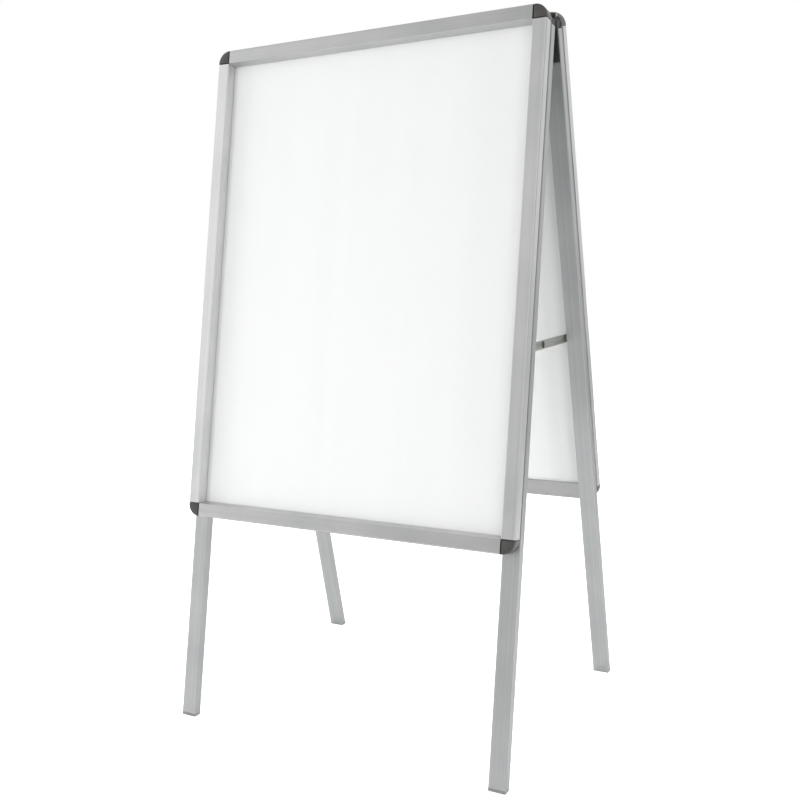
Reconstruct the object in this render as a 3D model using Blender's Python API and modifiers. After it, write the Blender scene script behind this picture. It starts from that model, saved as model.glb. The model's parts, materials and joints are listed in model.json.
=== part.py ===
"""A folding sandwich board: two snap-frame poster panels on tube legs, hinged together at the top.

Metres, +Z up. The front panel faces -Y. The origin is on the floor, in the middle of the footprint.
Along a panel, "drop" runs down from the top of the frame and "depth" runs back from the frame's face.
"""

import math

import bmesh
import bpy
from mathutils import Matrix, Vector

# Overall sizes
PANEL_WIDTH = 0.650  # over the outer sides of the frame
PANEL_HEIGHT = 0.862
PANEL_TILT = math.radians(11.35)  # of each panel, from the vertical
LEG_REACH = 1.230  # from the top of the frame down to the floor, along the middle of a leg
GAP = 0.0003  # between pieces that touch

# Snap frame: base rail, hinged cover and corner piece
FRAME_DEPTH = 0.022
RAIL_WALL = 0.0010
LEDGE_RUN = 0.0055  # how far the rail reaches under the sheets, past the corner pieces
LEDGE_RISE = 0.0041  # of the ledge that the sheets lie on, above the back of the frame
COVER_WALL = 0.0010
FACE_WIDTH = 0.024  # of the cover's flat face, from the outer side of the frame
OUTER_RADIUS = 0.003
EDGE_RADIUS = 0.0012
FLANK_RUN = 0.004  # how far the cover's inner flank leans in towards the poster
BEAD_RADIUS = 0.0008  # round edge of the rail that the cover turns on
BEAD_RISE = 0.003  # above the rail's floor
HOOK_SWEEP = 130  # degrees of the bead that the cover's hook wraps
CORNER_MARGIN = 0.0005  # by which a corner piece is wider than the face beside it
CORNER_STRAIGHT = 0.0010  # left of a corner's outer sides beyond its round
CORNER_BEVEL = 0.0025
TANG_EDGE = 0.0058  # near side of a corner's tang, from the outer side of the frame
TANG_WIDTH = 0.012
TANG_THICKNESS = 0.0028
TANG_LENGTH = 0.028

# Sheets held by the frame
CLEAR_SHEET = 0.0005
BACK_SHEET = 0.0015

# Leaf springs under the covers
SPRING_LENGTH = 0.040
SPRING_THICKNESS = 0.0005
SPRING_INSET = 0.0195  # of its foot, from the outer side of the frame
SPRING_SEAT = 0.0007  # from the rail's floor to the middle of the foot
SPRING_REACH = 0.0129  # from foot to tip, towards the outer side
SPRING_RISE = 0.0078
SPRING_BOW = 0.0026

# Legs and feet
LEG_DEPTH = 0.015
LEG_WALL = 0.0012
LEG_RADIUS = 0.0012
LEG_TOP_CLEARANCE = 0.0023  # from the corner pieces down to a leg's top end
FOOT_EDGE = 0.0015  # thinnest edge of a foot's wedge
FOOT_PLUG = 0.024
PLUG_CLEARANCE = 0.0004

# Top hinges
HINGE_DROP = 0.006
LEAF_CLEARANCE = 0.0006  # at each side of a leaf, from the inside of the leg's tube
LEAF_THICKNESS = 0.003
LEAF_LENGTH = 0.072
KNUCKLE_RADIUS = 0.0036
KNUCKLE_GAP = 0.0004
KNUCKLE_ROOT = 0.002  # how far a knuckle runs down into its plate
PLATE_CLEARANCE = 0.0009  # from a plate's top to the other leaf's knuckles
PIN_RADIUS = 0.0016
PIN_CLEARANCE = 0.0001
PIN_HEAD = 0.0010
PIN_HEAD_RADIUS = 0.0029
PIN_BEVEL = 0.0003
CAP_DROP = 0.0015  # top of the block that fills the leg above its cut end, below the pin
CAP_CLEARANCE = 0.0006  # from that block to the other leaf's knuckles
CAP_CHAMFER = 0.0075
CAP_TANG = 0.018

# Folding stays
STAY_DROP = 0.545  # of the pivots on the legs
LINK_HEIGHT = 0.015
LINK_THICKNESS = 0.0015
RIVET_RADIUS = 0.0025
RIVET_HEAD_RADIUS = 0.0046
RIVET_HEAD = 0.0014
RIVET_DOME = 0.0007  # height of the head's sloped rim
RIVET_TAIL_RADIUS = 0.0036
RIVET_TAIL = 0.0010
SPACER_RADIUS = 0.0050
RIVET_CLEARANCE = 0.0002

# Faces round a turned piece, and along the rounds of the sections
ROUND_STEPS = 24
BEAD_STEPS = 10
HOOK_STEPS = 7
EDGE_STEPS = 4
SPRING_STEPS = 6
CORNER_STEPS = 8
BARREL_STEPS = 18
LINK_STEPS = 12

# Widths across the frame, from its outer side
CORNER_SIZE = FACE_WIDTH + CORNER_MARGIN
CORNER_RADIUS = CORNER_SIZE - CORNER_STRAIGHT
RAIL_WIDTH = CORNER_SIZE + LEDGE_RUN
LEG_WIDTH = RAIL_WIDTH  # the legs stand behind the side rails and line up with them

# Depths through the frame, from its face
RAIL_FLOOR = FRAME_DEPTH - RAIL_WALL
BEAD_DEPTH = RAIL_FLOOR - BEAD_RISE
LEDGE_DEPTH = FRAME_DEPTH - LEDGE_RISE
BACK_FRONT = LEDGE_DEPTH - GAP - BACK_SHEET
CLEAR_FRONT = BACK_FRONT - GAP - CLEAR_SHEET
LIP_DEPTH = CLEAR_FRONT - GAP  # where a cover presses on the clear sheet
LEG_FRONT = FRAME_DEPTH + GAP
LEG_MIDDLE = LEG_FRONT + LEG_DEPTH / 2
AXIS_DEPTH = LEG_FRONT + LEG_DEPTH + GAP + LEAF_THICKNESS + GAP / 2  # of the top hinge's pin
AXIS_TO_LEG = AXIS_DEPTH - LEG_MIDDLE

# Where the legs end at the top, and what plugs into them there
LEG_TOP_DROP = CORNER_SIZE + LEG_TOP_CLEARANCE
LEAF_WIDTH = LEG_WIDTH - 2 * (LEG_WALL + LEAF_CLEARANCE)

# The cover's hook round the bead
HOOK_RADIUS = BEAD_RADIUS + GAP + COVER_WALL / 2
BEAD_INSET = HOOK_RADIUS + COVER_WALL / 2

# Heights above the floor, and the stays at full spread
SIN_TILT = math.sin(PANEL_TILT)
COS_TILT = math.cos(PANEL_TILT)
AXIS_HEIGHT = (LEG_REACH - HINGE_DROP) * COS_TILT - AXIS_TO_LEG * SIN_TILT
LINK_LENGTH = (STAY_DROP - HINGE_DROP) * SIN_TILT + AXIS_TO_LEG * COS_TILT
STAY_HEIGHT = AXIS_HEIGHT + AXIS_TO_LEG * SIN_TILT - (STAY_DROP - HINGE_DROP) * COS_TILT
INNER_SIDE = PANEL_WIDTH / 2 - LEG_WIDTH  # of a leg, from the middle of the board

for old in list(bpy.data.objects):
    bpy.data.objects.remove(old)

board = bpy.data.collections.new("sandwich_board")
cutters = bpy.data.collections.new("cutters")
bpy.context.scene.collection.children.link(board)
bpy.context.scene.collection.children.link(cutters)


# ---------------------------------------------------------------- materials


def finish(name, colour, roughness, metallic, alpha=1.0):
    """A Principled material with one plain finish."""
    material = bpy.data.materials.new(name)
    material.use_nodes = True
    shader = material.node_tree.nodes["Principled BSDF"]
    shader.inputs["Base Color"].default_value = (*colour, 1.0)
    shader.inputs["Roughness"].default_value = roughness
    shader.inputs["Metallic"].default_value = metallic
    shader.inputs["Alpha"].default_value = alpha
    return material


RAIL_FINISH = finish("anodised_rail", (0.60, 0.61, 0.62), 0.45, 1.0)
COVER_FINISH = finish("anodised_cover", (0.66, 0.67, 0.68), 0.38, 1.0)
LEG_FINISH = finish("anodised_leg", (0.62, 0.63, 0.64), 0.42, 1.0)
CORNER_FINISH = finish("corner_plastic", (0.10, 0.10, 0.10), 0.30, 0.0)
BACK_FINISH = finish("white_board", (0.88, 0.88, 0.88), 0.55, 0.0)
CLEAR_FINISH = finish("clear_cover_sheet", (0.95, 0.96, 0.97), 0.10, 0.0, 0.30)
SPRING_FINISH = finish("spring_steel", (0.35, 0.35, 0.36), 0.35, 1.0)
FOOT_FINISH = finish("foot_plastic", (0.16, 0.16, 0.16), 0.55, 0.0)
HINGE_FINISH = finish("hinge_plastic", (0.03, 0.03, 0.03), 0.45, 0.0)
PIN_FINISH = finish("plated_pin", (0.55, 0.55, 0.54), 0.30, 1.0)
LINK_FINISH = finish("plated_link", (0.50, 0.51, 0.49), 0.40, 1.0)
RIVET_FINISH = finish("plated_rivet", (0.58, 0.58, 0.57), 0.32, 1.0)


# ---------------------------------------------------------------- modelling helpers


def mesh_from(bm, name):
    """Closes off a bmesh as a mesh whose faces point out."""
    bmesh.ops.remove_doubles(bm, verts=bm.verts, dist=1e-6)
    bmesh.ops.recalc_face_normals(bm, faces=bm.faces)
    mesh = bpy.data.meshes.new(name)
    bm.to_mesh(mesh)
    bm.free()
    return mesh


def part(name, mesh, material, parent=None, location=(0, 0, 0), rotation=(0, 0, 0)):
    """One sub-part of the board."""
    obj = bpy.data.objects.new(name, mesh)
    if not mesh.materials:
        mesh.materials.append(material)
    board.objects.link(obj)
    obj.parent = parent
    obj.location = location
    obj.rotation_euler = rotation
    mesh.shade_smooth()
    mesh.set_sharp_from_angle(angle=math.radians(30))
    return obj


def arc(centre, radius, start, end, steps):
    """Points round a centre, between two angles in degrees."""
    angles = [math.radians(start + (end - start) * i / steps) for i in range(steps + 1)]
    return [(centre[0] + radius * math.cos(a), centre[1] + radius * math.sin(a)) for a in angles]


def wall_along(path, thickness):
    """Closed outline of a wall of even thickness whose middle follows a path."""
    points = [Vector(p) for p in path]
    near, far = [], []
    for i, point in enumerate(points):
        into = (point - points[i - 1]).normalized() if i else (points[1] - point).normalized()
        out = (points[i + 1] - point).normalized() if i + 1 < len(points) else into
        across = Vector((-(into + out).y, (into + out).x)).normalized()
        reach = thickness / 2 / across.dot(Vector((-into.y, into.x)))
        near.append(point + across * reach)
        far.append(point - across * reach)
    return near + far[::-1]


def prism(outline, low, high):
    """An outline in XY, extruded from one height to another."""
    bm = bmesh.new()
    face = bm.faces.new([bm.verts.new((a, b, low)) for a, b in outline])
    grown = bmesh.ops.extrude_face_region(bm, geom=[face])["geom"]
    moved = [item for item in grown if isinstance(item, bmesh.types.BMVert)]
    bmesh.ops.translate(bm, verts=moved, vec=(0, 0, high - low))
    return bm


def box(low, high):
    """A box between two corners."""
    size = Vector(high) - Vector(low)
    middle = (Vector(high) + Vector(low)) / 2
    bm = bmesh.new()
    bmesh.ops.create_cube(bm, size=1.0, matrix=Matrix.Translation(middle) @ Matrix.Diagonal((*size, 1)))
    return bm


def rod(radius, low, high, steps=ROUND_STEPS):
    """A cylinder along X between two stations."""
    bm = bmesh.new()
    turn = Matrix.Translation(((low + high) / 2, 0, 0)) @ Matrix.Rotation(math.radians(90), 4, "Y")
    bmesh.ops.create_cone(
        bm, cap_ends=True, segments=steps, radius1=radius, radius2=radius, depth=high - low, matrix=turn
    )
    return bm


def turned(profile, name):
    """A turned solid about X, from (station, radius) pairs, made with a Screw modifier."""
    mesh = bpy.data.meshes.new(name)
    mesh.from_pydata([(radius, 0, station) for station, radius in profile], edge_pairs(profile), [])
    blank = bpy.data.objects.new(name, mesh)
    bpy.context.scene.collection.objects.link(blank)
    screw = blank.modifiers.new("turn", "SCREW")
    screw.steps = screw.render_steps = ROUND_STEPS
    screw.use_merge_vertices = True
    screw.merge_threshold = 1e-5
    bm = bmesh.new()
    bm.from_mesh(evaluated_mesh(blank))
    bpy.data.objects.remove(blank)
    bmesh.ops.rotate(bm, verts=bm.verts, matrix=Matrix.Rotation(math.radians(90), 3, "Y"))
    return mesh_from(bm, name)


def edge_pairs(points):
    """Edges that join each point to the next."""
    return [(i, i + 1) for i in range(len(points) - 1)]


def evaluated_mesh(obj):
    """The object's mesh with its modifiers worked in."""
    bpy.context.view_layer.update()
    graph = bpy.context.evaluated_depsgraph_get()
    return bpy.data.meshes.new_from_object(obj.evaluated_get(graph))


def combined(bm, *steps):
    """One mesh, from a bmesh and any number of (operation, bmesh) Boolean steps."""
    blank = bpy.data.objects.new("blank", mesh_from(bm, "blank"))
    bpy.context.scene.collection.objects.link(blank)
    tools = []
    for operation, other in steps:
        tool = bpy.data.objects.new("tool", mesh_from(other, "tool"))
        bpy.context.scene.collection.objects.link(tool)
        modifier = blank.modifiers.new(operation, "BOOLEAN")
        modifier.operation = operation
        modifier.object = tool
        tools.append(tool)
    mesh = evaluated_mesh(blank)
    for used in (blank, *tools):
        bpy.data.objects.remove(used)
    return mesh


def drill(obj, name, bm, parent=None, location=(0, 0, 0)):
    """Cuts a hole with a live Boolean, and keeps the cutter as a wire guide."""
    cutter = bpy.data.objects.new(name, mesh_from(bm, name))
    cutters.objects.link(cutter)
    cutter.parent = parent
    cutter.location = location
    cutter.hide_render = True
    cutter.display_type = "WIRE"
    modifier = obj.modifiers.new(name, "BOOLEAN")
    modifier.operation = "DIFFERENCE"
    modifier.object = cutter


# ---------------------------------------------------------------- snap frame sections


def rail_outline():
    """Base rail: back plate, web with its bead, and the ledge that the sheets lie on."""
    back = FRAME_DEPTH
    floor = RAIL_FLOOR
    half = RAIL_WALL / 2
    neck = math.degrees(math.asin(half / BEAD_RADIUS))
    bead = arc((BEAD_INSET, BEAD_DEPTH), BEAD_RADIUS, 90 - neck, neck - 270, BEAD_STEPS)
    ledge_edge = CORNER_SIZE - RAIL_WALL
    return [
        (0, back),
        (RAIL_WIDTH, back),
        (RAIL_WIDTH, LEDGE_DEPTH),
        (ledge_edge, LEDGE_DEPTH),
        (ledge_edge, LEDGE_DEPTH + RAIL_WALL),
        (RAIL_WIDTH - RAIL_WALL, LEDGE_DEPTH + RAIL_WALL),
        (RAIL_WIDTH - RAIL_WALL, floor),
        (BEAD_INSET + half, floor),
        *bead,
        (BEAD_INSET - half, floor),
        (0, floor),
    ]


def cover_outline():
    """Snap cover: hook round the bead, outer skirt, face and the flank that leans in to the lip."""
    half = COVER_WALL / 2
    bead = (BEAD_INSET, BEAD_DEPTH)
    hook = arc(bead, HOOK_RADIUS, HOOK_SWEEP - 90, -90, HOOK_STEPS)
    outer = arc((OUTER_RADIUS, OUTER_RADIUS), OUTER_RADIUS - half, 180, 270, EDGE_STEPS)
    lean = math.degrees(math.atan2(FLANK_RUN, LIP_DEPTH))
    edge = arc((FACE_WIDTH - EDGE_RADIUS, EDGE_RADIUS), EDGE_RADIUS - half, 270, 360 - lean, EDGE_STEPS)
    tip = LIP_DEPTH - half * math.sin(math.radians(lean))
    tip_inset = edge[-1][0] + (tip - edge[-1][1]) * math.tan(math.radians(lean))
    return wall_along(
        [*hook, (half, BEAD_DEPTH - HOOK_RADIUS), *outer, *edge, (tip_inset, tip)], COVER_WALL
    )


def spring_outline():
    """Leaf spring: a bowed strip from the rail's floor up towards the hook."""
    foot = Vector((SPRING_INSET, RAIL_FLOOR - SPRING_SEAT))
    span = Vector((-SPRING_REACH, -SPRING_RISE))
    across = Vector((span.y, -span.x)).normalized()
    shares = [i / SPRING_STEPS for i in range(SPRING_STEPS + 1)]
    path = [foot + span * share + across * SPRING_BOW * math.sin(math.pi * share) for share in shares]
    return wall_along(path, SPRING_THICKNESS)


def along_side(outline, length, origin=(0, 0)):
    """Extrudes a section along one side: X along the side, Y inward, Z to the front."""
    bm = prism([(u - origin[0], depth - origin[1]) for u, depth in outline], -length / 2, length / 2)
    turn = Matrix(((0, 0, -1), (1, 0, 0), (0, -1, 0)))
    bmesh.ops.transform(bm, matrix=turn.to_4x4(), verts=bm.verts)
    return bm


def mitred(bm, side_length, origin=(0, 0)):
    """Cuts both ends back at 45 degrees where two sides would run into each other."""
    for end in (-1, 1):
        everything = [*bm.verts, *bm.edges, *bm.faces]
        corner = (end * (side_length / 2 - GAP), -origin[0], 0)
        bmesh.ops.bisect_plane(bm, geom=everything, plane_co=corner, plane_no=(end, 1, 0), clear_outer=True)
        bmesh.ops.holes_fill(bm, edges=[edge for edge in bm.edges if edge.is_boundary], sides=0)
    return bm


# ---------------------------------------------------------------- panels


def on_panel(x, drop, depth):
    """A place on a panel, in the frame of its empty, which sits on the top hinge's axis."""
    return Vector((x, depth - AXIS_DEPTH, HINGE_DROP - drop))


def panel_frame(name, turn):
    """The empty that carries a panel: on the hinge axis, leaning back by the panel's tilt."""
    empty = bpy.data.objects.new(name, None)
    board.objects.link(empty)
    empty.location = (0, 0, AXIS_HEIGHT)
    empty.rotation_euler = (-PANEL_TILT, 0, turn)
    return empty


def side_places():
    """Each side of a frame, in turn: its name, its middle, its length and its quarter turn."""
    half_width = PANEL_WIDTH / 2
    half_height = PANEL_HEIGHT / 2
    return [
        ("bottom", on_panel(0, PANEL_HEIGHT, 0), PANEL_WIDTH, 0),
        ("right", on_panel(half_width, half_height, 0), PANEL_HEIGHT, 1),
        ("top", on_panel(0, 0, 0), PANEL_WIDTH, 2),
        ("left", on_panel(-half_width, half_height, 0), PANEL_HEIGHT, 3),
    ]


def quarter_turned(count):
    """Rotation that stands a side's X, inward and front axes up on the panel, turned round it."""
    return (math.radians(90), math.radians(-90 * count), 0)


def snap_frame(panel, frame, names):
    """Rails, covers and springs on the four sides."""
    bead = (BEAD_INSET, BEAD_DEPTH)
    for side, middle, length, count in side_places():
        turn = quarter_turned(count)
        run = length - 2 * (CORNER_SIZE + GAP)
        rail = mitred(along_side(rail_outline(), run), length)
        part(f"{panel}_rail_{names[side]}", mesh_from(rail, "rail"), RAIL_FINISH, frame, middle, turn)
        cover = mitred(along_side(cover_outline(), run, bead), length, bead)
        hinge = middle + side_vector(count, (0, BEAD_INSET, -BEAD_DEPTH))
        part(f"{panel}_cover_{names[side]}", mesh_from(cover, "cover"), COVER_FINISH, frame, hinge, turn)
        spring = along_side(spring_outline(), SPRING_LENGTH)
        part(f"{panel}_spring_{names[side]}", mesh_from(spring, "spring"), SPRING_FINISH, frame, middle, turn)


def side_vector(count, vector):
    """A vector of a side's own frame, turned into the panel's frame."""
    turn = Matrix.Rotation(math.radians(-90 * count), 3, "Y") @ Matrix.Rotation(math.radians(90), 3, "X")
    return turn @ Vector(vector)


def corner_mesh():
    """Quarter-round corner block with two tangs that plug into the rails."""
    size = CORNER_SIZE
    round_part = arc((CORNER_RADIUS, CORNER_RADIUS), CORNER_RADIUS, 270, 180, CORNER_STEPS)
    block = prism([*round_part, (0, size), (size, size), (size, 0)], -FRAME_DEPTH, 0)
    rim = [
        edge
        for edge in block.edges
        if all(abs(vert.co.z) < 1e-6 for vert in edge.verts)
        and sum(min(vert.co.x, vert.co.y) for vert in edge.verts) < CORNER_RADIUS / 2
        and not all(abs(vert.co.x - size) < 1e-6 or abs(vert.co.y - size) < 1e-6 for vert in edge.verts)
    ]
    bmesh.ops.bevel(block, geom=rim, offset=CORNER_BEVEL, segments=3, profile=0.5, affect="EDGES")
    near = TANG_EDGE
    far = TANG_EDGE + TANG_WIDTH
    end = size + TANG_LENGTH
    low = GAP - RAIL_FLOOR
    elbow = [(near, near), (end, near), (end, far), (far, far), (far, end), (near, end)]
    return combined(block, ("UNION", prism(elbow, low, low + TANG_THICKNESS)))


def corners(panel, frame, names, mesh):
    """The four corner pieces."""
    places = [("bottom", "left"), ("bottom", "right"), ("top", "right"), ("top", "left")]
    for count, (level, side) in enumerate(places):
        x = PANEL_WIDTH / 2 * (-1 if side == "left" else 1)
        drop = PANEL_HEIGHT if level == "bottom" else 0
        name = f"{panel}_corner_{level}_{names[side]}"
        part(name, mesh, CORNER_FINISH, frame, on_panel(x, drop, 0), quarter_turned(count))


def sheets(panel, frame):
    """White backing board and the clear cover sheet in front of it."""
    edge = CORNER_SIZE + GAP
    x = PANEL_WIDTH / 2 - edge
    for name, front, thickness, material in (
        ("clear_sheet", CLEAR_FRONT, CLEAR_SHEET, CLEAR_FINISH),
        ("back_sheet", BACK_FRONT, BACK_SHEET, BACK_FINISH),
    ):
        low = on_panel(-x, PANEL_HEIGHT - edge, front)
        high = on_panel(x, edge, front + thickness)
        part(f"{panel}_{name}", mesh_from(box(low, high), name), material, frame)


# ---------------------------------------------------------------- legs and feet


def leg_end_drop():
    """Where the tube is cut square, just above the foot's wedge."""
    return LEG_REACH - LEG_DEPTH / 2 * math.tan(PANEL_TILT) - FOOT_EDGE - GAP


def leg_mesh():
    """Rectangular tube with rounded edges, open at both ends, hanging from its top end."""
    length = leg_end_drop() - LEG_TOP_DROP
    tube = box((-LEG_WIDTH / 2, -LEG_DEPTH / 2, -length), (LEG_WIDTH / 2, LEG_DEPTH / 2, 0))
    ends = [face for face in tube.faces if abs(face.normal.z) > 0.5]
    bmesh.ops.delete(tube, geom=ends, context="FACES_ONLY")
    long_edges = [edge for edge in tube.edges if abs(edge.verts[0].co.z - edge.verts[1].co.z) > length / 2]
    bmesh.ops.bevel(tube, geom=long_edges, offset=LEG_RADIUS, segments=2, profile=0.5, affect="EDGES")
    return mesh_from(tube, "leg")


def foot_mesh():
    """Plug that fills the tube's end, on a wedge whose sole lies flat on the floor."""
    half_width = LEG_WIDTH / 2
    half_depth = LEG_DEPTH / 2
    rise = half_depth * math.tan(PANEL_TILT)
    foot = box((-half_width, -half_depth, -1), (half_width, half_depth, rise + FOOT_EDGE))
    for vert in foot.verts:
        if vert.co.z < 0:
            vert.co.z = math.copysign(rise, vert.co.y)
    top = [face for face in foot.faces if face.normal.z > 0.9 and face.calc_center_median().z > rise]
    inset = LEG_WALL + PLUG_CLEARANCE
    bmesh.ops.inset_region(foot, faces=top, thickness=inset, use_even_offset=True)
    plug = bmesh.ops.extrude_face_region(foot, geom=top)["geom"]
    raised = [item for item in plug if isinstance(item, bmesh.types.BMVert)]
    bmesh.ops.delete(foot, geom=top, context="FACES_ONLY")
    bmesh.ops.translate(foot, verts=raised, vec=(0, 0, FOOT_PLUG))
    return mesh_from(foot, "foot")


def legs(panel, frame, names):
    """Two tube legs behind the sides of the frame, each with its foot and the hole for its stay."""
    tube = leg_mesh()
    foot = foot_mesh()
    for side, sign in (("left", -1), ("right", 1)):
        x = sign * (PANEL_WIDTH / 2 - LEG_WIDTH / 2)
        top = on_panel(x, LEG_TOP_DROP, LEG_MIDDLE)
        leg = part(f"{panel}_leg_{names[side]}", tube, LEG_FINISH, frame, top)
        shell = leg.modifiers.new("wall", "SOLIDIFY")
        shell.thickness = LEG_WALL
        shell.offset = -1
        shell.use_even_offset = True
        pivot = on_panel(sign * INNER_SIDE, STAY_DROP, LEG_MIDDLE)
        hole = rod(RIVET_RADIUS + RIVET_CLEARANCE, -2 * LEG_WALL, 2 * LEG_WALL)
        drill(leg, f"{leg.name}_hole", hole, frame, pivot)
        sole = on_panel(x, LEG_REACH, LEG_MIDDLE)
        part(f"{panel}_foot_{names[side]}", foot, FOOT_FINISH, frame, sole)


# ---------------------------------------------------------------- top hinges


def along_x(outline, low, high):
    """A side view, as (depth, height) pairs, extruded along X."""
    bm = prism(outline, low, high)
    turn = Matrix(((0, 0, 1), (1, 0, 0), (0, 1, 0)))
    bmesh.ops.transform(bm, matrix=turn.to_4x4(), verts=bm.verts)
    return bm


def leaf_outline():
    """Side view of a leaf: plate down the back of the leg, block above the leg and tang inside it."""
    back = -GAP / 2
    plate_front = back - LEAF_THICKNESS
    plate_top = -KNUCKLE_RADIUS - PLATE_CLEARANCE
    block_back = -KNUCKLE_RADIUS - CAP_CLEARANCE
    block_front = -AXIS_TO_LEG - LEG_DEPTH / 2
    block_bottom = HINGE_DROP - LEG_TOP_DROP + GAP
    notch = plate_top - CAP_CHAMFER
    inset = LEG_WALL + PLUG_CLEARANCE
    tang_back = LEG_DEPTH / 2 - AXIS_TO_LEG - inset
    tang_front = block_front + inset
    tang_bottom = HINGE_DROP - LEG_TOP_DROP - CAP_TANG
    return [
        (back, -LEAF_LENGTH),
        (back, plate_top),
        (plate_front, plate_top),
        (plate_front, notch),
        (block_back, notch),
        (block_back, -CAP_DROP),
        (block_front, -CAP_DROP),
        (block_front, block_bottom),
        (tang_front, block_bottom),
        (tang_front, tang_bottom),
        (tang_back, tang_bottom),
        (tang_back, block_bottom),
        (plate_front, block_bottom),
        (plate_front, -LEAF_LENGTH),
    ]


def chamfer_cutter(side):
    """Wedge that takes off one upper corner of the block above the leg."""
    past = CAP_CHAMFER / 2
    outer = side * (LEAF_WIDTH / 2 + past)
    inner = side * (LEAF_WIDTH / 2 - CAP_CHAMFER - past)
    top = past - CAP_DROP
    wedge = prism(
        [(outer, top), (inner, top), (outer, -CAP_DROP - CAP_CHAMFER - past)],
        KNUCKLE_RADIUS + CAP_CLEARANCE / 2,
        AXIS_TO_LEG + LEG_DEPTH,
    )
    bmesh.ops.rotate(wedge, verts=wedge.verts, matrix=Matrix.Rotation(math.radians(90), 3, "X"))
    return wedge


def knuckle_outline():
    """Side view of a knuckle: round about the pin, with a straight root down into the plate."""
    root = -KNUCKLE_RADIUS - PLATE_CLEARANCE - KNUCKLE_ROOT
    back = -GAP / 2
    turn_in = math.degrees(math.acos(-back / KNUCKLE_RADIUS))
    barrel = arc((0, 0), KNUCKLE_RADIUS, 180, turn_in - 180, BARREL_STEPS)
    return [(-KNUCKLE_RADIUS, root), *barrel, (back, root)]


def leaf_mesh(knuckles):
    """Hinge leaf with its knuckles, drilled for the pin."""
    half = LEAF_WIDTH / 2
    steps = [("DIFFERENCE", chamfer_cutter(side)) for side in (-1, 1)]
    steps += [("UNION", along_x(knuckle_outline(), low, high)) for low, high in knuckles]
    steps.append(("DIFFERENCE", rod(PIN_RADIUS + PIN_CLEARANCE, -LEAF_WIDTH, LEAF_WIDTH)))
    return combined(along_x(leaf_outline(), -half, half), *steps)


def pin_mesh():
    """Hinge pin with a head at each end."""
    head = LEAF_WIDTH / 2 + GAP
    tip = head + PIN_HEAD
    rim = PIN_HEAD_RADIUS
    half = [(head, PIN_RADIUS), (head, rim), (tip - PIN_BEVEL, rim), (tip, rim - PIN_BEVEL), (tip, 0)]
    return turned([(-station, radius) for station, radius in reversed(half)] + half, "hinge_pin")


def hinges(front, rear):
    """A pair of leaves and a pin at the top of each side."""
    third = LEAF_WIDTH / 3
    outer = [(-LEAF_WIDTH / 2, -third / 2 - KNUCKLE_GAP), (third / 2 + KNUCKLE_GAP, LEAF_WIDTH / 2)]
    middle = [(-third / 2, third / 2)]
    front_leaf = leaf_mesh(outer)
    rear_leaf = leaf_mesh(middle)
    pin = pin_mesh()
    for side, sign in (("left", -1), ("right", 1)):
        x = sign * (PANEL_WIDTH / 2 - LEG_WIDTH / 2)
        part(f"front_hinge_leaf_{side}", front_leaf, HINGE_FINISH, front, (x, 0, 0))
        part(f"rear_hinge_leaf_{side}", rear_leaf, HINGE_FINISH, rear, (-x, 0, 0))
        part(f"hinge_pin_{side}", pin, PIN_FINISH, None, (x, 0, AXIS_HEIGHT))


# ---------------------------------------------------------------- folding stays


def link_mesh():
    """Flat bar with round ends, from its pivot on the leg at the origin to the elbow along +Y."""
    radius = LINK_HEIGHT / 2
    outline = arc((0, 0), radius, 180, 360, LINK_STEPS) + arc((0, LINK_LENGTH), radius, 0, 180, LINK_STEPS)
    bar = along_x([(along, up) for up, along in outline], 0, LINK_THICKNESS)
    hole = RIVET_RADIUS + RIVET_CLEARANCE
    pivot = rod(hole, -LINK_THICKNESS, 2 * LINK_THICKNESS)
    elbow = rod(hole, -LINK_THICKNESS, 2 * LINK_THICKNESS)
    bmesh.ops.translate(elbow, verts=elbow.verts, vec=(0, LINK_LENGTH, 0))
    return combined(bar, ("DIFFERENCE", pivot), ("DIFFERENCE", elbow))


def rivet_head(station):
    """Shank's end and domed head, from a station outward, as (station, radius) pairs."""
    top = station + RIVET_HEAD
    return [
        (station, RIVET_RADIUS),
        (station, RIVET_HEAD_RADIUS),
        (top - RIVET_DOME, RIVET_HEAD_RADIUS),
        (top, RIVET_HEAD_RADIUS - 2 * RIVET_DOME),
        (top, 0),
    ]


def rivet_tail():
    """Formed end inside the leg's tube, and the start of the shank."""
    inside = -(LEG_WALL + GAP)
    end = inside - RIVET_TAIL
    return [(end, 0), (end, RIVET_TAIL_RADIUS), (inside, RIVET_TAIL_RADIUS), (inside, RIVET_RADIUS)]


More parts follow.
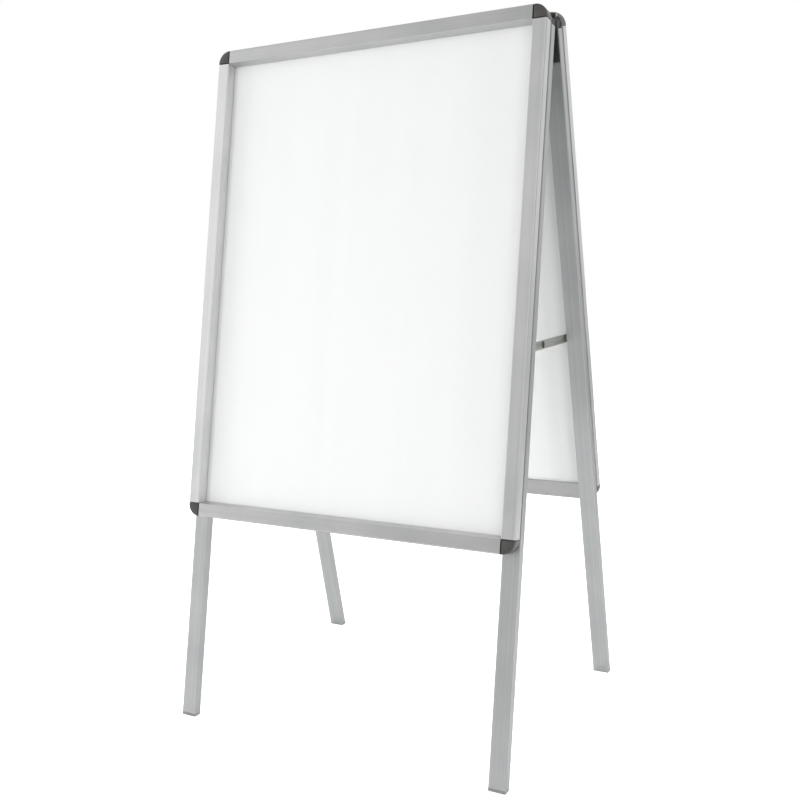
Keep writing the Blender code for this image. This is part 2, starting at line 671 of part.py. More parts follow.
def stays():
    """On each side, two links that lie in line when the board stands open, one plane apart."""
    front_plane = GAP
    rear_plane = front_plane + LINK_THICKNESS + GAP
    rear_face = rear_plane + LINK_THICKNESS
    link = link_mesh()
    front_rivet = turned([*rivet_tail(), *rivet_head(rear_plane)], "front_rivet")
    spacer = [
        (GAP, RIVET_RADIUS),
        (GAP, SPACER_RADIUS),
        (rear_plane - GAP, SPACER_RADIUS),
        (rear_plane - GAP, RIVET_RADIUS),
    ]
    rear_rivet = turned([*rivet_tail(), *spacer, *rivet_head(rear_face + GAP)], "rear_rivet")
    elbow_shank = [(rear_plane, 0), (rear_plane, RIVET_RADIUS)]
    elbow_rivet = turned([*elbow_shank, *rivet_head(rear_face + GAP)], "elbow_rivet")
    half_turn = math.radians(180)
    for side, sign in (("left", -1), ("right", 1)):
        wall = sign * INNER_SIDE
        rivet_turn = (0, 0, half_turn if sign > 0 else 0)
        front_pivot = Vector((wall, -LINK_LENGTH, STAY_HEIGHT))
        rear_pivot = Vector((wall, LINK_LENGTH, STAY_HEIGHT))
        elbow = Vector((wall, 0, STAY_HEIGHT))
        front_x = front_plane if sign < 0 else -(front_plane + LINK_THICKNESS)
        rear_x = rear_face if sign < 0 else -rear_plane
        part(f"front_stay_link_{side}", link, LINK_FINISH, None, front_pivot + Vector((front_x, 0, 0)))
        part(
            f"rear_stay_link_{side}",
            link,
            LINK_FINISH,
            None,
            rear_pivot + Vector((rear_x, 0, 0)),
            (0, 0, half_turn),
        )
        part(f"front_stay_rivet_{side}", front_rivet, RIVET_FINISH, None, front_pivot, rivet_turn)
        part(f"rear_stay_rivet_{side}", rear_rivet, RIVET_FINISH, None, rear_pivot, rivet_turn)
        part(f"stay_elbow_rivet_{side}", elbow_rivet, RIVET_FINISH, None, elbow, rivet_turn)


# ---------------------------------------------------------------- the board

front_frame = panel_frame("front_panel", 0)
rear_frame = panel_frame("rear_panel", math.radians(180))
corner = corner_mesh()
FROM_FRONT = {"top": "top", "bottom": "bottom", "left": "left", "right": "right"}
TURNED_ROUND = {"top": "top", "bottom": "bottom", "left": "right", "right": "left"}

for panel_name, panel_empty, side_names in (
    ("front", front_frame, FROM_FRONT),
    ("rear", rear_frame, TURNED_ROUND),
):
    snap_frame(panel_name, panel_empty, side_names)
    corners(panel_name, panel_empty, side_names, corner)
    sheets(panel_name, panel_empty)
    legs(panel_name, panel_empty, side_names)

hinges(front_frame, rear_frame)
stays()
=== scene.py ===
import json
import math
import bmesh
import bpy
from mathutils import Matrix, Vector


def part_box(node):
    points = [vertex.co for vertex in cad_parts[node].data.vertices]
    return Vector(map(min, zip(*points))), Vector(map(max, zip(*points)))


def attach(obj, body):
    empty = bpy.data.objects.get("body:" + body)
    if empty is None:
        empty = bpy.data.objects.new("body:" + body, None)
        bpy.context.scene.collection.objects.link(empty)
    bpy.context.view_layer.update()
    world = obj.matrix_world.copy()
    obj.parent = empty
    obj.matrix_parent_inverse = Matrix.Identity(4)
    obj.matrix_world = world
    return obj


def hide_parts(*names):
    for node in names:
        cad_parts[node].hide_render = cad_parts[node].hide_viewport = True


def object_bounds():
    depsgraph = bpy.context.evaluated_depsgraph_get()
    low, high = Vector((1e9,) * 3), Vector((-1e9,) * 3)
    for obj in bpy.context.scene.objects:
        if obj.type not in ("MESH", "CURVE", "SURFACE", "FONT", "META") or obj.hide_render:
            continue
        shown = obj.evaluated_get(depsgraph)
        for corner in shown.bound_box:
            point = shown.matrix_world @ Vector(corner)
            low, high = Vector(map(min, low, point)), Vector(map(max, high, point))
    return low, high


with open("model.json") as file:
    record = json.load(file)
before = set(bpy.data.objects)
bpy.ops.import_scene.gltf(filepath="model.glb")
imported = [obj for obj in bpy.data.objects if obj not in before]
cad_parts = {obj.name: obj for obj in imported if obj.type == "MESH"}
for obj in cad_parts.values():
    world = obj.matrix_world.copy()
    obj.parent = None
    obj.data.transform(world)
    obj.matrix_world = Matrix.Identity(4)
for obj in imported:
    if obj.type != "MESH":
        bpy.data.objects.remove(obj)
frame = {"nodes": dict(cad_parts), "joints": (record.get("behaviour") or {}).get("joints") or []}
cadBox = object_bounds()
print("frame loaded:", len(frame["nodes"]), "nodes")

fold = next(joint for joint in frame["joints"] if joint["name"] == "fold")
panelTilt = math.radians(fold["range_deg"][1] / 2)  # each panel leans by half of the full fold
hingeHeight = fold["pos_m"][2]
panelTurn = {"front": -panelTilt, "rear": panelTilt}  # about X, to stand a panel's pattern upright
sides = ("front", "rear")
edges = ("top", "bottom", "left", "right")


def hexColour(code):  # sRGB hex to the linear colour that a shader takes
    channels = [int(code[i:i + 2], 16) / 255 for i in (1, 3, 5)]
    linear = [c / 12.92 if c <= 0.04045 else ((c + 0.055) / 1.055) ** 2.4 for c in channels]
    return (*linear, 1.0)


def addNode(tree, kind, inputs=None, **settings):  # an input is a value, or a socket to link from
    node = tree.nodes.new(kind)
    for name, value in settings.items():
        setattr(node, name, value)
    for name, value in (inputs or {}).items():
        if isinstance(value, bpy.types.NodeSocket):
            tree.links.new(value, node.inputs[name])
        else:
            node.inputs[name].default_value = value
    return node


def newMaterial(name, roughness, metallic=0.0, ior=None):
    material = bpy.data.materials.new(name)
    material.use_nodes = True
    shader = material.node_tree.nodes["Principled BSDF"]
    shader.inputs["Roughness"].default_value = roughness
    shader.inputs["Metallic"].default_value = metallic
    if ior:
        shader.inputs["IOR"].default_value = ior
    return material, material.node_tree, shader


def placeOnPiece(tree, turn, size):  # object coordinates turned to the panel, in units of a real size
    where = addNode(tree, "ShaderNodeTexCoord")
    inputs = {"Vector": where.outputs["Object"], "Rotation": (turn, 0, 0), "Scale": size}
    return addNode(tree, "ShaderNodeMapping", inputs, vector_type="TEXTURE").outputs["Vector"]


def giveFinish(nodeName, material):
    obj = frame["nodes"][nodeName]
    obj.data.materials.clear()
    obj.data.materials.append(material)


# Painted shade: level bars are a shade darker than upright ones, for the darker room that a level bar mirrors,
# and the rails under the covers are darker still, for the covers' shade.
aluminium = {
    "cover": {
        "upright": {"light": "#e2e2e1", "dark": "#d3d4d5", "rough": 0.34},
        "level": {"light": "#cdcdcc", "dark": "#bfc0c1", "rough": 0.34},
    },
    "rail": {
        "upright": {"light": "#cbcbca", "dark": "#bdbebf", "rough": 0.42},
        "level": {"light": "#c4c4c3", "dark": "#b5b6b7", "rough": 0.42},
    },
    "leg": {
        "upright": {"light": "#c7c9c9", "dark": "#b9bbbc", "rough": 0.38},
    },
    "smoother": 0.05,
    "rougher": 0.06,
    "lineSpacing": 0.0016,  # die lines are nearer 0.2 mm apart, drawn coarser so that they show
    "lineLength": 0.9,
    "lineDetail": 3.0,
    "lineDepth": 0.00004,
    "lineStrength": 0.5,
    "cloudSize": 0.11,
    "cloudDetail": 2.0,
    "darkAt": 0.12,  # lines times clouds, where the darker and the lighter tint are reached
    "lightAt": 0.38,
}


def anodisedAluminium(kind, side, along):
    # Extruded 6063 with a clear satin anodic film: soft grey metal with fine lines the way it left the die.
    # The tints picked by kind and by level or upright carry painted shade.
    look, turn = dict(aluminium, **aluminium[kind][along]), panelTurn[side]
    name = "satinAnodised_" + kind + "_" + side + "_" + along
    material, tree, shader = newMaterial(name, look["rough"], 1.0)
    fine, far = look["lineSpacing"], look["lineLength"]
    lineSize = (far, fine, fine) if along == "level" else (fine, fine, far)
    inputs = {"Vector": placeOnPiece(tree, turn, lineSize), "Scale": 1.0, "Detail": look["lineDetail"]}
    dieLines = addNode(tree, "ShaderNodeTexNoise", inputs)
    cloudSize = (look["cloudSize"],) * 3
    inputs = {"Vector": placeOnPiece(tree, turn, cloudSize), "Scale": 1.0, "Detail": look["cloudDetail"]}
    tint = addNode(tree, "ShaderNodeTexNoise", inputs)
    inputs = {0: dieLines.outputs[0], 1: tint.outputs[0]}
    blend = addNode(tree, "ShaderNodeMath", inputs, operation="MULTIPLY")
    inputs = {"Value": blend.outputs[0], "From Min": look["darkAt"], "From Max": look["lightAt"]}
    ramp = addNode(tree, "ShaderNodeMapRange", inputs)
    colour = addNode(tree, "ShaderNodeMix", {"Factor": ramp.outputs[0]}, data_type="RGBA")
    colour.inputs["A"].default_value = hexColour(look["dark"])
    colour.inputs["B"].default_value = hexColour(look["light"])
    tree.links.new(colour.outputs["Result"], shader.inputs["Base Color"])
    least, most = look["rough"] - look["smoother"], look["rough"] + look["rougher"]
    inputs = {"Value": tint.outputs[0], "To Min": least, "To Max": most}
    rough = addNode(tree, "ShaderNodeMapRange", inputs)
    tree.links.new(rough.outputs[0], shader.inputs["Roughness"])
    inputs = {"Height": dieLines.outputs[0], "Distance": look["lineDepth"], "Strength": look["lineStrength"]}
    bump = addNode(tree, "ShaderNodeBump", inputs)
    tree.links.new(bump.outputs[0], shader.inputs["Normal"])
    return material


for side in sides:
    covers = {along: anodisedAluminium("cover", side, along) for along in ("level", "upright")}
    rails = {along: anodisedAluminium("rail", side, along) for along in ("level", "upright")}
    legTube = anodisedAluminium("leg", side, "upright")
    for edge in edges:
        along = "level" if edge in ("top", "bottom") else "upright"
        giveFinish(side + "_cover_" + edge, covers[along])
        giveFinish(side + "_rail_" + edge, rails[along])
    for edge in ("left", "right"):
        giveFinish(side + "_leg_" + edge, legTube)
print("aluminium done")


plastic = {
    "corner": {"light": "#4a4846", "dark": "#3c3b3a", "rough": 0.30, "grain": 0.0009},
    "foot": {"light": "#8f9090", "dark": "#7b7c7c", "rough": 0.5, "grain": 0.0009},
    "hinge": {"light": "#232322", "dark": "#171717", "rough": 0.42, "grain": 0.0008},
    "ior": 1.5,
    "smoother": 0.06,
    "rougher": 0.10,
    "grainDetail": 2.0,
    "grainDepth": 0.00003,
    "grainStrength": 0.6,
    "flow": 30,  # flow marks, in grains
    "flowDetail": 3.0,
}


def mouldedPlastic(name, piece):
    # Injection-moulded plastic with a fine spark-eroded grain: a broken, low sheen.
    look = dict(plastic, **plastic[piece])
    material, tree, shader = newMaterial(name, look["rough"], 0.0, look["ior"])
    grainSize = (look["grain"],) * 3  # real grain is finer, drawn at a size that shows
    inputs = {"Vector": placeOnPiece(tree, 0, grainSize), "Scale": 1.0, "Detail": look["grainDetail"]}
    grain = addNode(tree, "ShaderNodeTexNoise", inputs)
    flowSize = (look["grain"] * look["flow"],) * 3
    inputs = {"Vector": placeOnPiece(tree, 0, flowSize), "Scale": 1.0, "Detail": look["flowDetail"]}
    flow = addNode(tree, "ShaderNodeTexNoise", inputs)
    colour = addNode(tree, "ShaderNodeMix", {"Factor": flow.outputs[0]}, data_type="RGBA")
    colour.inputs["A"].default_value = hexColour(look["dark"])
    colour.inputs["B"].default_value = hexColour(look["light"])
    tree.links.new(colour.outputs["Result"], shader.inputs["Base Color"])
    least, most = look["rough"] - look["smoother"], look["rough"] + look["rougher"]
    inputs = {"Value": grain.outputs[0], "To Min": least, "To Max": most}
    rough = addNode(tree, "ShaderNodeMapRange", inputs)
    tree.links.new(rough.outputs[0], shader.inputs["Roughness"])
    inputs = {"Height": grain.outputs[0], "Distance": look["grainDepth"], "Strength": look["grainStrength"]}
    bump = addNode(tree, "ShaderNodeBump", inputs)
    tree.links.new(bump.outputs[0], shader.inputs["Normal"])
    return material


cornerAbs = mouldedPlastic("mouldedAbs_corner", "corner")
footPolythene = mouldedPlastic("mouldedPolythene_foot", "foot")
hingeNylon = mouldedPlastic("mouldedNylon_hinge", "hinge")
for side in sides:
    for edge in ("left", "right"):
        for level in ("top", "bottom"):
            giveFinish(side + "_corner_" + level + "_" + edge, cornerAbs)
        giveFinish(side + "_foot_" + edge, footPolythene)
        giveFinish(side + "_hinge_leaf_" + edge, hingeNylon)
print("plastics done")


board = {
    "light": "#ededed",
    "dark": "#e6e7e7",
    "rough": 0.5,
    "ior": 1.52,
    "streak": (0.012, 0.012, 0.8),  # across, through and along the sheet
    "grain": 0.002,
    "detail": 2.0,
    "grainDepth": 0.00001,
    "grainStrength": 0.15,
}
clearSheet = {
    "light": "#ffffff",
    "dark": "#f7f9fa",
    "rough": 0.28,
    "smoother": 0.08,
    "rougher": 0.12,
    "ior": 1.5,
    "alpha": 0.08,
    "smudge": 0.09,
    "smudgeDetail": 4.0,
}


def rigidPvc(side):
    # Extruded rigid PVC board: white, faintly streaked along the sheet, with a low even sheen.
    look, turn = board, panelTurn[side]
    material, tree, shader = newMaterial("rigidPvc_board_" + side, look["rough"], 0.0, look["ior"])
    inputs = {"Vector": placeOnPiece(tree, turn, look["streak"]), "Scale": 1.0, "Detail": look["detail"]}
    streak = addNode(tree, "ShaderNodeTexNoise", inputs)
    colour = addNode(tree, "ShaderNodeMix", {"Factor": streak.outputs[0]}, data_type="RGBA")
    colour.inputs["A"].default_value = hexColour(look["dark"])
    colour.inputs["B"].default_value = hexColour(look["light"])
    tree.links.new(colour.outputs["Result"], shader.inputs["Base Color"])
    grainSize = (look["grain"],) * 3
    inputs = {"Vector": placeOnPiece(tree, turn, grainSize), "Scale": 1.0, "Detail": look["detail"]}
    grain = addNode(tree, "ShaderNodeTexNoise", inputs)
    inputs = {"Height": grain.outputs[0], "Distance": look["grainDepth"], "Strength": look["grainStrength"]}
    bump = addNode(tree, "ShaderNodeBump", inputs)
    tree.links.new(bump.outputs[0], shader.inputs["Normal"])
    return material


def antiGlarePvc(side):
    # Thin clear PVC with a matt anti-glare face: hardly seen, it blurs what it mirrors.
    look, turn = clearSheet, panelTurn[side]
    material, tree, shader = newMaterial("antiGlarePvc_cover_" + side, look["rough"], 0.0, look["ior"])
    shader.inputs["Alpha"].default_value = look["alpha"]
    smudgeSize = (look["smudge"],) * 3
    inputs = {"Vector": placeOnPiece(tree, turn, smudgeSize), "Scale": 1.0, "Detail": look["smudgeDetail"]}
    smudge = addNode(tree, "ShaderNodeTexNoise", inputs)
    least, most = look["rough"] - look["smoother"], look["rough"] + look["rougher"]
    inputs = {"Value": smudge.outputs[0], "To Min": least, "To Max": most}
    rough = addNode(tree, "ShaderNodeMapRange", inputs)
    tree.links.new(rough.outputs[0], shader.inputs["Roughness"])
    colour = addNode(tree, "ShaderNodeMix", {"Factor": smudge.outputs[0]}, data_type="RGBA")
    colour.inputs["A"].default_value = hexColour(look["dark"])
    colour.inputs["B"].default_value = hexColour(look["light"])
    tree.links.new(colour.outputs["Result"], shader.inputs["Base Color"])
    return material


for side in sides:
    giveFinish(side + "_back_sheet", rigidPvc(side))
    giveFinish(side + "_clear_sheet", antiGlarePvc(side))
print("sheets done")


steel = {
    "zinc": {"light": "#c6c8c1", "dark": "#a9aca5", "rough": 0.34, "bloom": 0.004},
    "spring": {"light": "#8f9092", "dark": "#6d6e71", "rough": 0.32, "bloom": 0.003},
    "smoother": 0.08,
    "rougher": 0.10,
    "bloomDetail": 5.0,
    "bloomDepth": 0.00003,
    "bloomStrength": 0.5,
}


def cloudySteel(name, kind):
    # Bright zinc plate has a faint crystal bloom, and oiled spring steel the darker clouds of its temper.
    look = dict(steel, **steel[kind])
    material, tree, shader = newMaterial(name, look["rough"], 1.0)
    bloomSize = (look["bloom"],) * 3
    inputs = {"Vector": placeOnPiece(tree, 0, bloomSize), "Scale": 1.0, "Detail": look["bloomDetail"]}
    bloom = addNode(tree, "ShaderNodeTexNoise", inputs)
    colour = addNode(tree, "ShaderNodeMix", {"Factor": bloom.outputs[0]}, data_type="RGBA")
    colour.inputs["A"].default_value = hexColour(look["dark"])
    colour.inputs["B"].default_value = hexColour(look["light"])
    tree.links.new(colour.outputs["Result"], shader.inputs["Base Color"])
    least, most = look["rough"] - look["smoother"], look["rough"] + look["rougher"]
    inputs = {"Value": bloom.outputs[0], "To Min": least, "To Max": most}
    rough = addNode(tree, "ShaderNodeMapRange", inputs)
    tree.links.new(rough.outputs[0], shader.inputs["Roughness"])
    inputs = {"Height": bloom.outputs[0], "Distance": look["bloomDepth"], "Strength": look["bloomStrength"]}
    bump = addNode(tree, "ShaderNodeBump", inputs)
    tree.links.new(bump.outputs[0], shader.inputs["Normal"])
    return material


zincSteel = cloudySteel("zincPlatedSteel", "zinc")
springSteel = cloudySteel("oiledSpringSteel", "spring")
for edge in ("left", "right"):
    giveFinish("hinge_pin_" + edge, zincSteel)
    giveFinish("stay_elbow_rivet_" + edge, zincSteel)
    for side in sides:
        giveFinish(side + "_stay_link_" + edge, zincSteel)
        giveFinish(side + "_stay_rivet_" + edge, zincSteel)
for side in sides:
    for edge in edges:
        giveFinish(side + "_spring_" + edge, springSteel)
print("steel done")


bench = {
    "touching": 1e-5,  # nearer than this is the same place
    "facing": 0.99,  # cosine past which a face looks the way that is asked for
    "edgeSegments": 2,
    "smoothAngle": 35,
    "bevelMargin": 5,  # degrees past the smooth angle before an edge is broken
}


def panelPlace(side):  # from a panel's own upright axes, at the hinge pin, to where it leans
    halfTurn = math.pi if side == "rear" else 0
    lean = Matrix.Rotation(-panelTilt, 4, "X")
    return Matrix.Translation((0, 0, hingeHeight)) @ Matrix.Rotation(halfTurn, 4, "Z") @ lean


def uprightBox(nodeName):  # lowest and highest corner of a front panel's node, in the panel's own axes
    back = panelPlace("front").inverted()
    points = [back @ vert.co for vert in frame["nodes"][nodeName].data.vertices]
    return Vector(map(min, *points)), Vector(map(max, *points))


def onlySelect(obj):
    bpy.ops.object.select_all(action="DESELECT")
    obj.select_set(True)
    bpy.context.view_layer.objects.active = obj


def openPrimitive(name):  # the primitive just added, with its place in its mesh, open for editing
    obj = bpy.context.object
    obj.name = obj.data.name = name
    bpy.ops.object.transform_apply(location=True, rotation=True, scale=True)
    bpy.ops.object.mode_set(mode="EDIT")
    return obj


def startBlock(name, low, high):  # a cube stretched to these corners
    bpy.ops.object.select_all(action="DESELECT")
    bpy.ops.mesh.primitive_cube_add(size=1, location=(Vector(low) + Vector(high)) / 2)
    bpy.context.object.scale = Vector(high) - Vector(low)
    return openPrimitive(name)


def startRod(name, centre, radius, length, sides, turn=(0, math.pi / 2, 0)):  # along X unless turned
    bpy.ops.object.select_all(action="DESELECT")
    bpy.ops.mesh.primitive_cylinder_add(
        vertices=sides, radius=radius, depth=length, location=centre, rotation=turn
    )
    return openPrimitive(name)


def pickFaces(obj, test):  # test takes a face's middle and normal
    bpy.ops.mesh.select_mode(type="FACE")
    bpy.ops.mesh.select_all(action="DESELECT")
    mesh = bmesh.from_edit_mesh(obj.data)
    for face in mesh.faces:
        face.select_set(test(face.calc_center_median(), face.normal))
    bmesh.update_edit_mesh(obj.data)


def pickEdges(obj, test):  # test takes an edge's two ends
    bpy.ops.mesh.select_mode(type="EDGE")
    bpy.ops.mesh.select_all(action="DESELECT")
    mesh = bmesh.from_edit_mesh(obj.data)
    for edge in mesh.edges:
        edge.select_set(test(edge.verts[0].co, edge.verts[1].co))
    bmesh.update_edit_mesh(obj.data)


def extrudePicked(move):
    bpy.ops.mesh.extrude_region_move(TRANSFORM_OT_translate={"value": move})


def cutPicked(point, normal):
    bpy.ops.mesh.bisect(plane_co=point, plane_no=normal)


def closePiece(obj, edgeRadius, smooth=bench["smoothAngle"]):  # out of edit mode, edges broken, shaded
    bpy.ops.object.mode_set(mode="OBJECT")
    onlySelect(obj)
    bevel = obj.modifiers.new("edges", "BEVEL")
    bevel.width, bevel.segments, bevel.limit_method = edgeRadius, bench["edgeSegments"], "ANGLE"
    bevel.angle_limit = math.radians(smooth + bench["bevelMargin"])
    bpy.ops.object.modifier_apply(modifier=bevel.name)
    bpy.ops.object.shade_smooth_by_angle(angle=math.radians(smooth))
    return obj


def copyTo(obj, name, place):  # its own mesh, moved and turned or mirrored by place
    onlySelect(obj)
    bpy.ops.object.duplicate(linked=False)
    twin = bpy.context.object
    twin.name = twin.data.name = name
    twin.matrix_world = place
    bpy.ops.object.transform_apply(location=True, rotation=True, scale=True)
    bpy.ops.object.mode_set(mode="EDIT")
    bpy.ops.mesh.select_all(action="SELECT")
    bpy.ops.mesh.normals_make_consistent(inside=False)
    bpy.ops.object.mode_set(mode="OBJECT")
    return twin


def discard(obj):  # its object goes with its mesh
    bpy.data.meshes.remove(obj.data)


def giveLook(obj, material, body, replaced=()):
    obj.data.materials.clear()
    obj.data.materials.append(material)
    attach(obj, body)
    if replaced:
        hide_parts(*replaced)


corner = {
    "round": 0.0224,
    "roundSegments": 16,
    "rim": 0.0026,  # how far the front edge is rounded over
    "rimSegments": 5,
    "backEdge": 0.0006,
    "backSegments": 2,
    "seam": 0.0018,  # width of the step beside each cover
    "seamDepth": 0.0030,
    "tangNear": 0.0058,  # from the outer side of the frame
    "tangWidth": 0.0120,
    "tangFront": 0.0179,
    "tangThickness": 0.0028,
    "edge": 0.00025,
    "smoothAngle": 40,
    "coverGap": 0.0003,
}


def cornerPiece():  # the top right one, in the front panel's own axes
    low, high = uprightBox("front_corner_top_right")
    near = uprightBox("front_cover_top")[1].x + corner["coverGap"]
    below = uprightBox("front_cover_right")[1].z + corner["coverGap"]
    seam, front, touching = corner["seam"], low.y, bench["touching"]
    obj = startBlock("cornerStart", (near + seam, low.y, below + seam), high)

    onOuterEdge = lambda p: abs(p.x - high.x) < touching and abs(p.z - high.z) < touching
    pickEdges(obj, lambda a, b: onOuterEdge(a) and onOuterEdge(b))
    bpy.ops.mesh.bevel(offset=corner["round"], segments=corner["roundSegments"], affect="EDGES")
    besideTop = lambda a, b: max(a.x, b.x) < near + seam + touching
    besideRight = lambda a, b: max(a.z, b.z) < below + seam + touching
    atSide = lambda a, b: besideTop(a, b) or besideRight(a, b)
    pickEdges(obj, lambda a, b: max(a.y, b.y) < front + touching and not atSide(a, b))
    bpy.ops.mesh.bevel(offset=corner["rim"], segments=corner["rimSegments"], affect="EDGES")
    pickEdges(obj, lambda a, b: min(a.y, b.y) > high.y - touching and not atSide(a, b))
    bpy.ops.mesh.bevel(offset=corner["backEdge"], segments=corner["backSegments"], affect="EDGES")

    def looksOut(axis, place):  # tests a face that looks to the low side of an axis, at this place on it
        return lambda middle, normal: -normal[axis] > bench["facing"] and abs(middle[axis] - place) < touching

    shelf = front + corner["seamDepth"]  # behind it, the seam's step is filled
    for axis, side in ((0, near + seam), (2, below + seam)):
        onStep = looksOut(axis, side)
        pickFaces(obj, onStep)
        cutPicked((0, shelf, 0), (0, 1, 0))
        pickFaces(obj, lambda middle, normal: onStep(middle, normal) and middle.y > shelf)
        outward = Vector((0, 0, 0))
        outward[axis] = -1
        extrudePicked(outward * seam)

    tangFront = front + corner["tangFront"]
    tangBack = tangFront + corner["tangThickness"]
    for axis, across, side, end in ((0, 2, near, low.x), (2, 0, below, low.z)):  # one tang behind each cover
        outward, sideways = Vector((0, 0, 0)), Vector((0, 0, 0))
        outward[axis], sideways[across] = -1, 1
        outer = high[across] - corner["tangNear"]
        inner = outer - corner["tangWidth"]
        onSide = looksOut(axis, side)
        for point, normal in (
            ((0, tangFront, 0), (0, 1, 0)),
            ((0, tangBack, 0), (0, 1, 0)),
            (sideways * outer, sideways),
            (sideways * inner, sideways),
        ):
            pickFaces(obj, onSide)
            cutPicked(point, normal)
        pickFaces(
            obj,
            lambda middle, normal: onSide(middle, normal)
            and tangFront < middle.y < tangBack
            and inner < middle[across] < outer,
        )
        extrudePicked(outward * (side - end))
    return closePiece(obj, corner["edge"], corner["smoothAngle"])


cornerStart = cornerPiece()
panelLow = uprightBox("front_corner_bottom_right")[0].z
panelHigh = uprightBox("front_corner_top_right")[1].z
for side in sides:
    for edge, level in ((e, l) for e in ("left", "right") for l in ("top", "bottom")):
        across = 1 if (edge == "right") == (side == "front") else -1
        upward = 1 if level == "top" else -1
        shift = panelLow + panelHigh if upward < 0 else 0
        flip = Matrix.Translation((0, 0, shift)) @ Matrix.Diagonal((across, 1, upward, 1))
        nodeName = side + "_corner_" + level + "_" + edge
        piece = copyTo(cornerStart, nodeName + "_moulding", panelPlace(side) @ flip)
        giveLook(piece, cornerAbs, side + "_panel", [nodeName])
discard(cornerStart)
print("corner pieces done")


stay = {
    "endRound": 0.499,  # of the strip's width, so that its ends are half circles
    "endSegments": 14,
    "pivotHole": 0.0027,
    "drillSides": 32,
    "drillReach": 8,  # in strip thicknesses
    "bush": 0.0064,
    "bushFit": 0.0002,
    "bushSides": 40,
    "bushRim": 0.0022,
    "bushDish": 0.0004,
    "edge": 0.00022,
}


def stayLink(nodeName, holes):  # a flat strip with round ends; holes are centre and radius
    low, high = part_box(nodeName)
    touching = bench["touching"]
    obj = startBlock(nodeName + "_pressing", low, high)
    pickEdges(obj, lambda a, b: abs(a.y - b.y) < touching and abs(a.z - b.z) < touching)
    bpy.ops.mesh.bevel(offset=(high.z - low.z) * stay["endRound"], segments=stay["endSegments"], affect="EDGES")
    bpy.ops.object.mode_set(mode="OBJECT")
    for centre, radius in holes:
        drill = startRod("drill", centre, radius, (high.x - low.x) * stay["drillReach"], stay["drillSides"])
        bpy.ops.object.mode_set(mode="OBJECT")
        onlySelect(obj)
        cut = obj.modifiers.new("hole", "BOOLEAN")
        cut.operation, cut.object, cut.solver = "DIFFERENCE", drill, "EXACT"
        bpy.ops.object.modifier_apply(modifier=cut.name)
        discard(drill)
    return closePiece(obj, stay["edge"])


def elbowBush(name, elbow, link):  # the nylon washer that an elbow turns in, flush with the link
    low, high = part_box(link)
    centre = Vector(((low.x + high.x) / 2, elbow.y, elbow.z))
    obj = startRod(name, centre, stay["bush"] - stay["bushFit"], high.x - low.x, stay["bushSides"])
    for away in (-1, 1):
        pickFaces(obj, lambda middle, normal: normal.x * away > bench["facing"])
        bpy.ops.mesh.inset(thickness=stay["bushRim"])
        extrudePicked((-away * stay["bushDish"], 0, 0))
    return closePiece(obj, stay["edge"])


def middleOf(nodeName):
    low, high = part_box(nodeName)
    return (low + high) / 2


for edge in ("left", "right"):
    elbow = middleOf("stay_elbow_rivet_" + edge)
    for side, hole in (("front", stay["bush"]), ("rear", stay["pivotHole"])):
        pivot = middleOf(side + "_stay_rivet_" + edge)
        nodeName = side + "_stay_link_" + edge
        link = stayLink(nodeName, [(pivot, stay["pivotHole"]), (elbow, hole)])
        giveLook(link, zincSteel, side + "_stay_" + edge, [nodeName])
    bush = elbowBush("stay_bush_" + edge, elbow, "front_stay_link_" + edge)
    giveLook(bush, hingeNylon, "front_stay_" + edge)
print("stays done")


fixing = {  # the rivets under the snap covers that hold a frame to its legs
    "drops": (0.09, 0.27, 0.60, 0.78),  # down a side rail, clear of its spring
    "radius": 0.0033,
    "sides": 28,
    "flange": 0.0006,
    "dome": ((0.0009, 0.0004), (0.0008, 0.0002)),  # from the rim inwards: width of a ring, rise inside it
    "mandrel": 0.0009,
    "mandrelSink": 0.0005,
    "shank": 0.0019,
    "grip": 0.0022,  # through the rail's floor and the leg's wall
    "railFloor": 0.0010,
    "edge": 0.00008,
}


def fixingRivet(centre):  # blind rivet, its head towards the front; centre is where it meets the rail
    thick, radius, facing = fixing["flange"], fixing["radius"], bench["facing"]
    middle = centre - Vector((0, thick / 2, 0))
    obj = startRod("rivetStart", middle, radius, thick, fixing["sides"], (math.pi / 2, 0, 0))
    crown = radius - sum(width for width, rise in fixing["dome"])
    for width, rise in (*fixing["dome"], (crown - fixing["mandrel"], -fixing["mandrelSink"])):
        pickFaces(obj, lambda middle, normal: normal.y < -facing)
        bpy.ops.mesh.inset(thickness=width)
        extrudePicked((0, -rise, 0))
    pickFaces(obj, lambda middle, normal: normal.y > facing)
    bpy.ops.mesh.inset(thickness=radius - fixing["shank"])
    extrudePicked((0, fixing["grip"], 0))
    return closePiece(obj, fixing["edge"])


railLow, railHigh = uprightBox("front_rail_right")
rivetX = (railLow.x + railHigh.x) / 2
rivetStart = fixingRivet(Vector((rivetX, railHigh.y - fixing["railFloor"], 0)))
for side in sides:
    for edge, way in (("left", -1), ("right", 1)):
        across = way if side == "front" else -way
        for number, drop in enumerate(fixing["drops"], 1):
            shift = Matrix.Translation((0, 0, panelHigh - drop)) @ Matrix.Diagonal((across, 1, 1, 1))
            name = side + "_fixing_" + edge + "_" + str(number)
            rivet = copyTo(rivetStart, name, panelPlace(side) @ shift)
            giveLook(rivet, zincSteel, side + "_panel")
discard(rivetStart)
print("fixing rivets done")


softened = {  # how far each kind of small piece has its edges broken
    "hinge_leaf": 0.0005,
    "foot": 0.0006,
    "stay_rivet": 0.00015,
    "mergeWithin": 0.000005,
    "flatAngle": 1,
}


